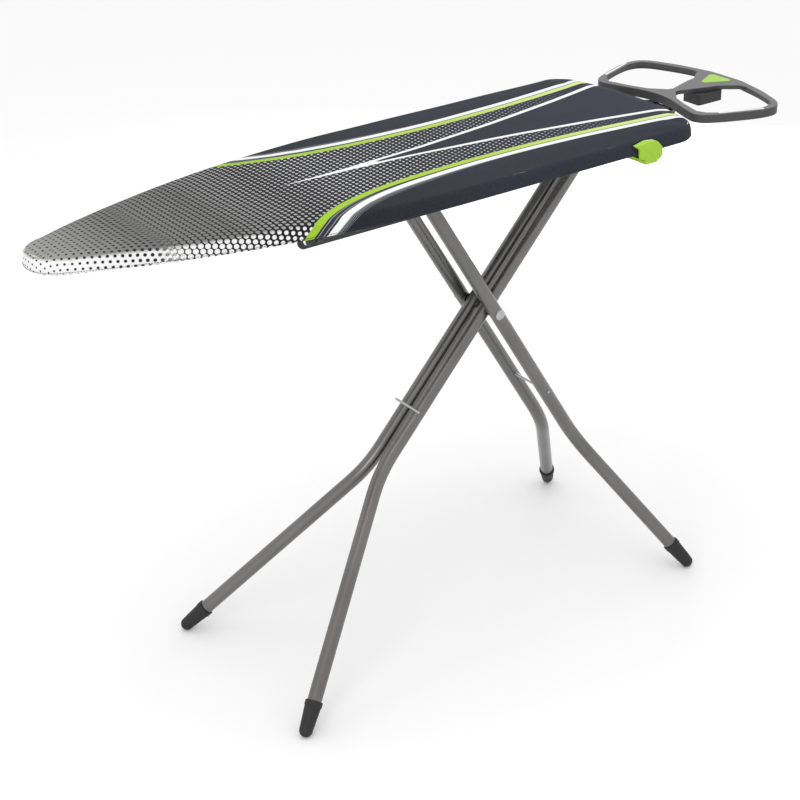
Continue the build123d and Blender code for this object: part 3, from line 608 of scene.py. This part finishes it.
thread = plain_finish("dark_thread", srgb(40, 42, 52), 0.75, grain=2500)
seam = bpy.data.meshes.new("seam_line")
seam_points = [(x + nx * SEAM_OUT + NOSE_X, y + ny * SEAM_OUT, TOP - SEAM_DROP)
               for (x, y), (nx, ny) in board_edge(SEAM_SPACING)]
seam.from_pydata(seam_points,
                 [(i, (i + 1) % len(seam_points)) for i in range(len(seam_points))], [])
tree, sockets = stitch_tree(thread)
stitches = grown("hem_stitches", seam, tree, {
    sockets["Pitch"]: STITCH_PITCH, sockets["Length"]: STITCH_LENGTH, sockets["Radius"]: STITCH_R})
stitches.materials.clear()
add_piece("hem_stitches", stitches, thread, "board")


# Underlay. A cut of felt and foam between the steel sheet and the cover, rounded at its edges
# and closed underneath.
pad_low, pad_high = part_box("underlay_pad")
PAD_INSET, PAD_ROUND = pad_low.x - cover_low.x, 0.0035
PAD_FLOOR = pad_low.z + 0.0003
PAD_SPACING, PAD_UNDER_SPACING = 0.014, 0.030
PAD_PROFILE = [
    (PAD_INSET + 0.012, pad_high.z - 0.0009, 0.0),
    (PAD_INSET + PAD_ROUND, pad_high.z - 0.0012, 0.008),
    (PAD_INSET + 0.0008, pad_high.z - 0.0030, 0.011),
    (PAD_INSET, (pad_low.z + pad_high.z) / 2, 0.015),
    (PAD_INSET + 0.001, pad_low.z + 0.0012, 0.019),
    (PAD_INSET + 0.004, PAD_FLOOR, 0.022)]
pad_mesh, pad_row, _ = sewn_mesh("underlay_felt", PAD_PROFILE, PAD_SPACING)
under = [pad_mesh.vertices[i].co.copy() for i in pad_row]
points, faces, origin = net_inside([(p.x - NOSE_X, p.y) for p in under], PAD_UNDER_SPACING)
verts = [tuple(v.co) for v in pad_mesh.vertices]
polygons = [tuple(p.vertices) for p in pad_mesh.polygons]
joined = {}
for new, olds in enumerate(origin):
    on_ring = [old for old in olds if old < len(under)]
    if on_ring:
        joined[new] = pad_row[on_ring[0]]
    else:
        joined[new] = len(verts)
        verts.append((points[new].x + NOSE_X, points[new].y, PAD_FLOOR))
for f in faces:
    downward = f if turning(points, f) < 0 else reversed(f)
    polygons.append(tuple(joined[i] for i in downward))
felt_mesh = bpy.data.meshes.new("underlay_felt")
felt_mesh.from_pydata(verts, [], polygons)
smooth(felt_mesh)
felt = plain_finish("pressed_felt", srgb(205, 202, 192), 0.95, grain=700, depth=0.6, uneven=0.06)
underlay = add_piece("underlay_felt", felt_mesh, felt, "board")
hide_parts("underlay_pad")


# Steel under the board. A perforated sheet on a tube rim with pressed ribs, powder coated
# graphite, like the leg tubes.
graphite = plain_finish("graphite_coat", srgb(112, 111, 110), 0.3, metal=0.9, grain=1400,
                        depth=0.10, coat=0.2)
sheet_paint = plain_finish("sheet_coat", srgb(118, 120, 122), 0.5, metal=0.4, grain=1200,
                           depth=0.15)
coat_nodes(sheet_paint, "top_sheet")
coat_nodes(graphite, "rim_frame", "cross_rib_nose", "cross_rib_rail_start",
           "cross_rib_rail_middle", "cross_rib_rail_end", "cross_rib_hinge", "cross_rib_tail",
           "rest_wire", "hinge_sleeve", "outer_tube_far", "outer_tube_near", "inner_tube_far",
           "inner_tube_near")

# Dark steel for the rails, the lever's shaft and the bars. Bright zinc for the hinge bracket,
# axles, rods, screws and spring.
dark_steel = plain_finish("blackened_steel", srgb(66, 66, 67), 0.42, metal=0.85, grain=600,
                          depth=0.1)
coat_nodes(dark_steel, "guide_rail_far", "guide_rail_near", "lever_shaft", "lock_bar",
           "slide_bar")
zinc = plain_finish("bright_zinc", srgb(176, 178, 180), 0.34, metal=0.95, grain=500, depth=0.08,
                    uneven=0.1)
coat_nodes(zinc, "hinge_bracket", "hinge_axle", "lever_spring", "outer_wire_rod",
           "inner_wire_rod", "pivot_axle", "clip_screws")

# Black mouldings and rubber feet.
black = plain_finish("black_moulding", srgb(26, 26, 27), 0.42, grain=1600, depth=0.12,
                     uneven=0.15)
coat_nodes(black, "shaft_clips", "rest_socket", "rest_holder", "wire_saddles", "wire_clips",
           "slide_shoes", "outer_plugs", "inner_plugs", "pivot_washers", "pivot_spacer")
rubber = plain_finish("foot_rubber", srgb(24, 24, 25), 0.62, grain=900, depth=0.3, uneven=0.18,
                      wear=srgb(40, 40, 41))
coat_nodes(rubber, "outer_foot_far", "outer_foot_near", "inner_foot_far", "inner_foot_near")

# Iron rest. Heat-proof moulded frame in metallic grey; its walls are darker by painted shade, the
# grey darkening as a face turns away from up.
rest_painted_wall_shade, start, shader = new_finish("metallic_rest_painted_shade")
place = start.node("ShaderNodeTexCoord", out="Object")
normal = start.node("ShaderNodeTexCoord", out="Normal")
up = start.node("ShaderNodeSeparateXYZ", inputs={0: normal}, out=2)
flake = start.node("ShaderNodeTexNoise", inputs={"Vector": place, "Scale": 2200.0, "Detail": 2.0})
# painted shade: faces that turn from up to sideways get the darker grey, standing in for the shade on
# the rest's walls
shade = up.ease(0.3, 0.95).mix(srgb(60, 60, 61), srgb(104, 104, 106))
shade = (flake.ease(0.5, 0.8) * 0.2).mix(shade, srgb(160, 160, 163))
bump = start.node("ShaderNodeBump", inputs={"Strength": 0.1, "Distance": 0.0003, "Height": flake})
feed(start, shader, Base_Color=shade, Roughness=0.5 + (flake - 0.5) * 0.15, Metallic=0.2,
     Normal=bump)
coat_nodes(rest_painted_wall_shade, "iron_rest")
silicone = plain_finish("soft_white", srgb(226, 226, 222), 0.6, grain=1200, depth=0.15,
                        uneven=0.04)
coat_nodes(silicone, "rest_strips")

# Lever and badge. Smooth lime green mouldings.
lime = plain_finish("lime_moulding", srgb(150, 196, 22), 0.4, grain=700, depth=0.05, uneven=0.06,
                    coat=0.15)
coat_nodes(lime, "lever_handle", "rest_badge")
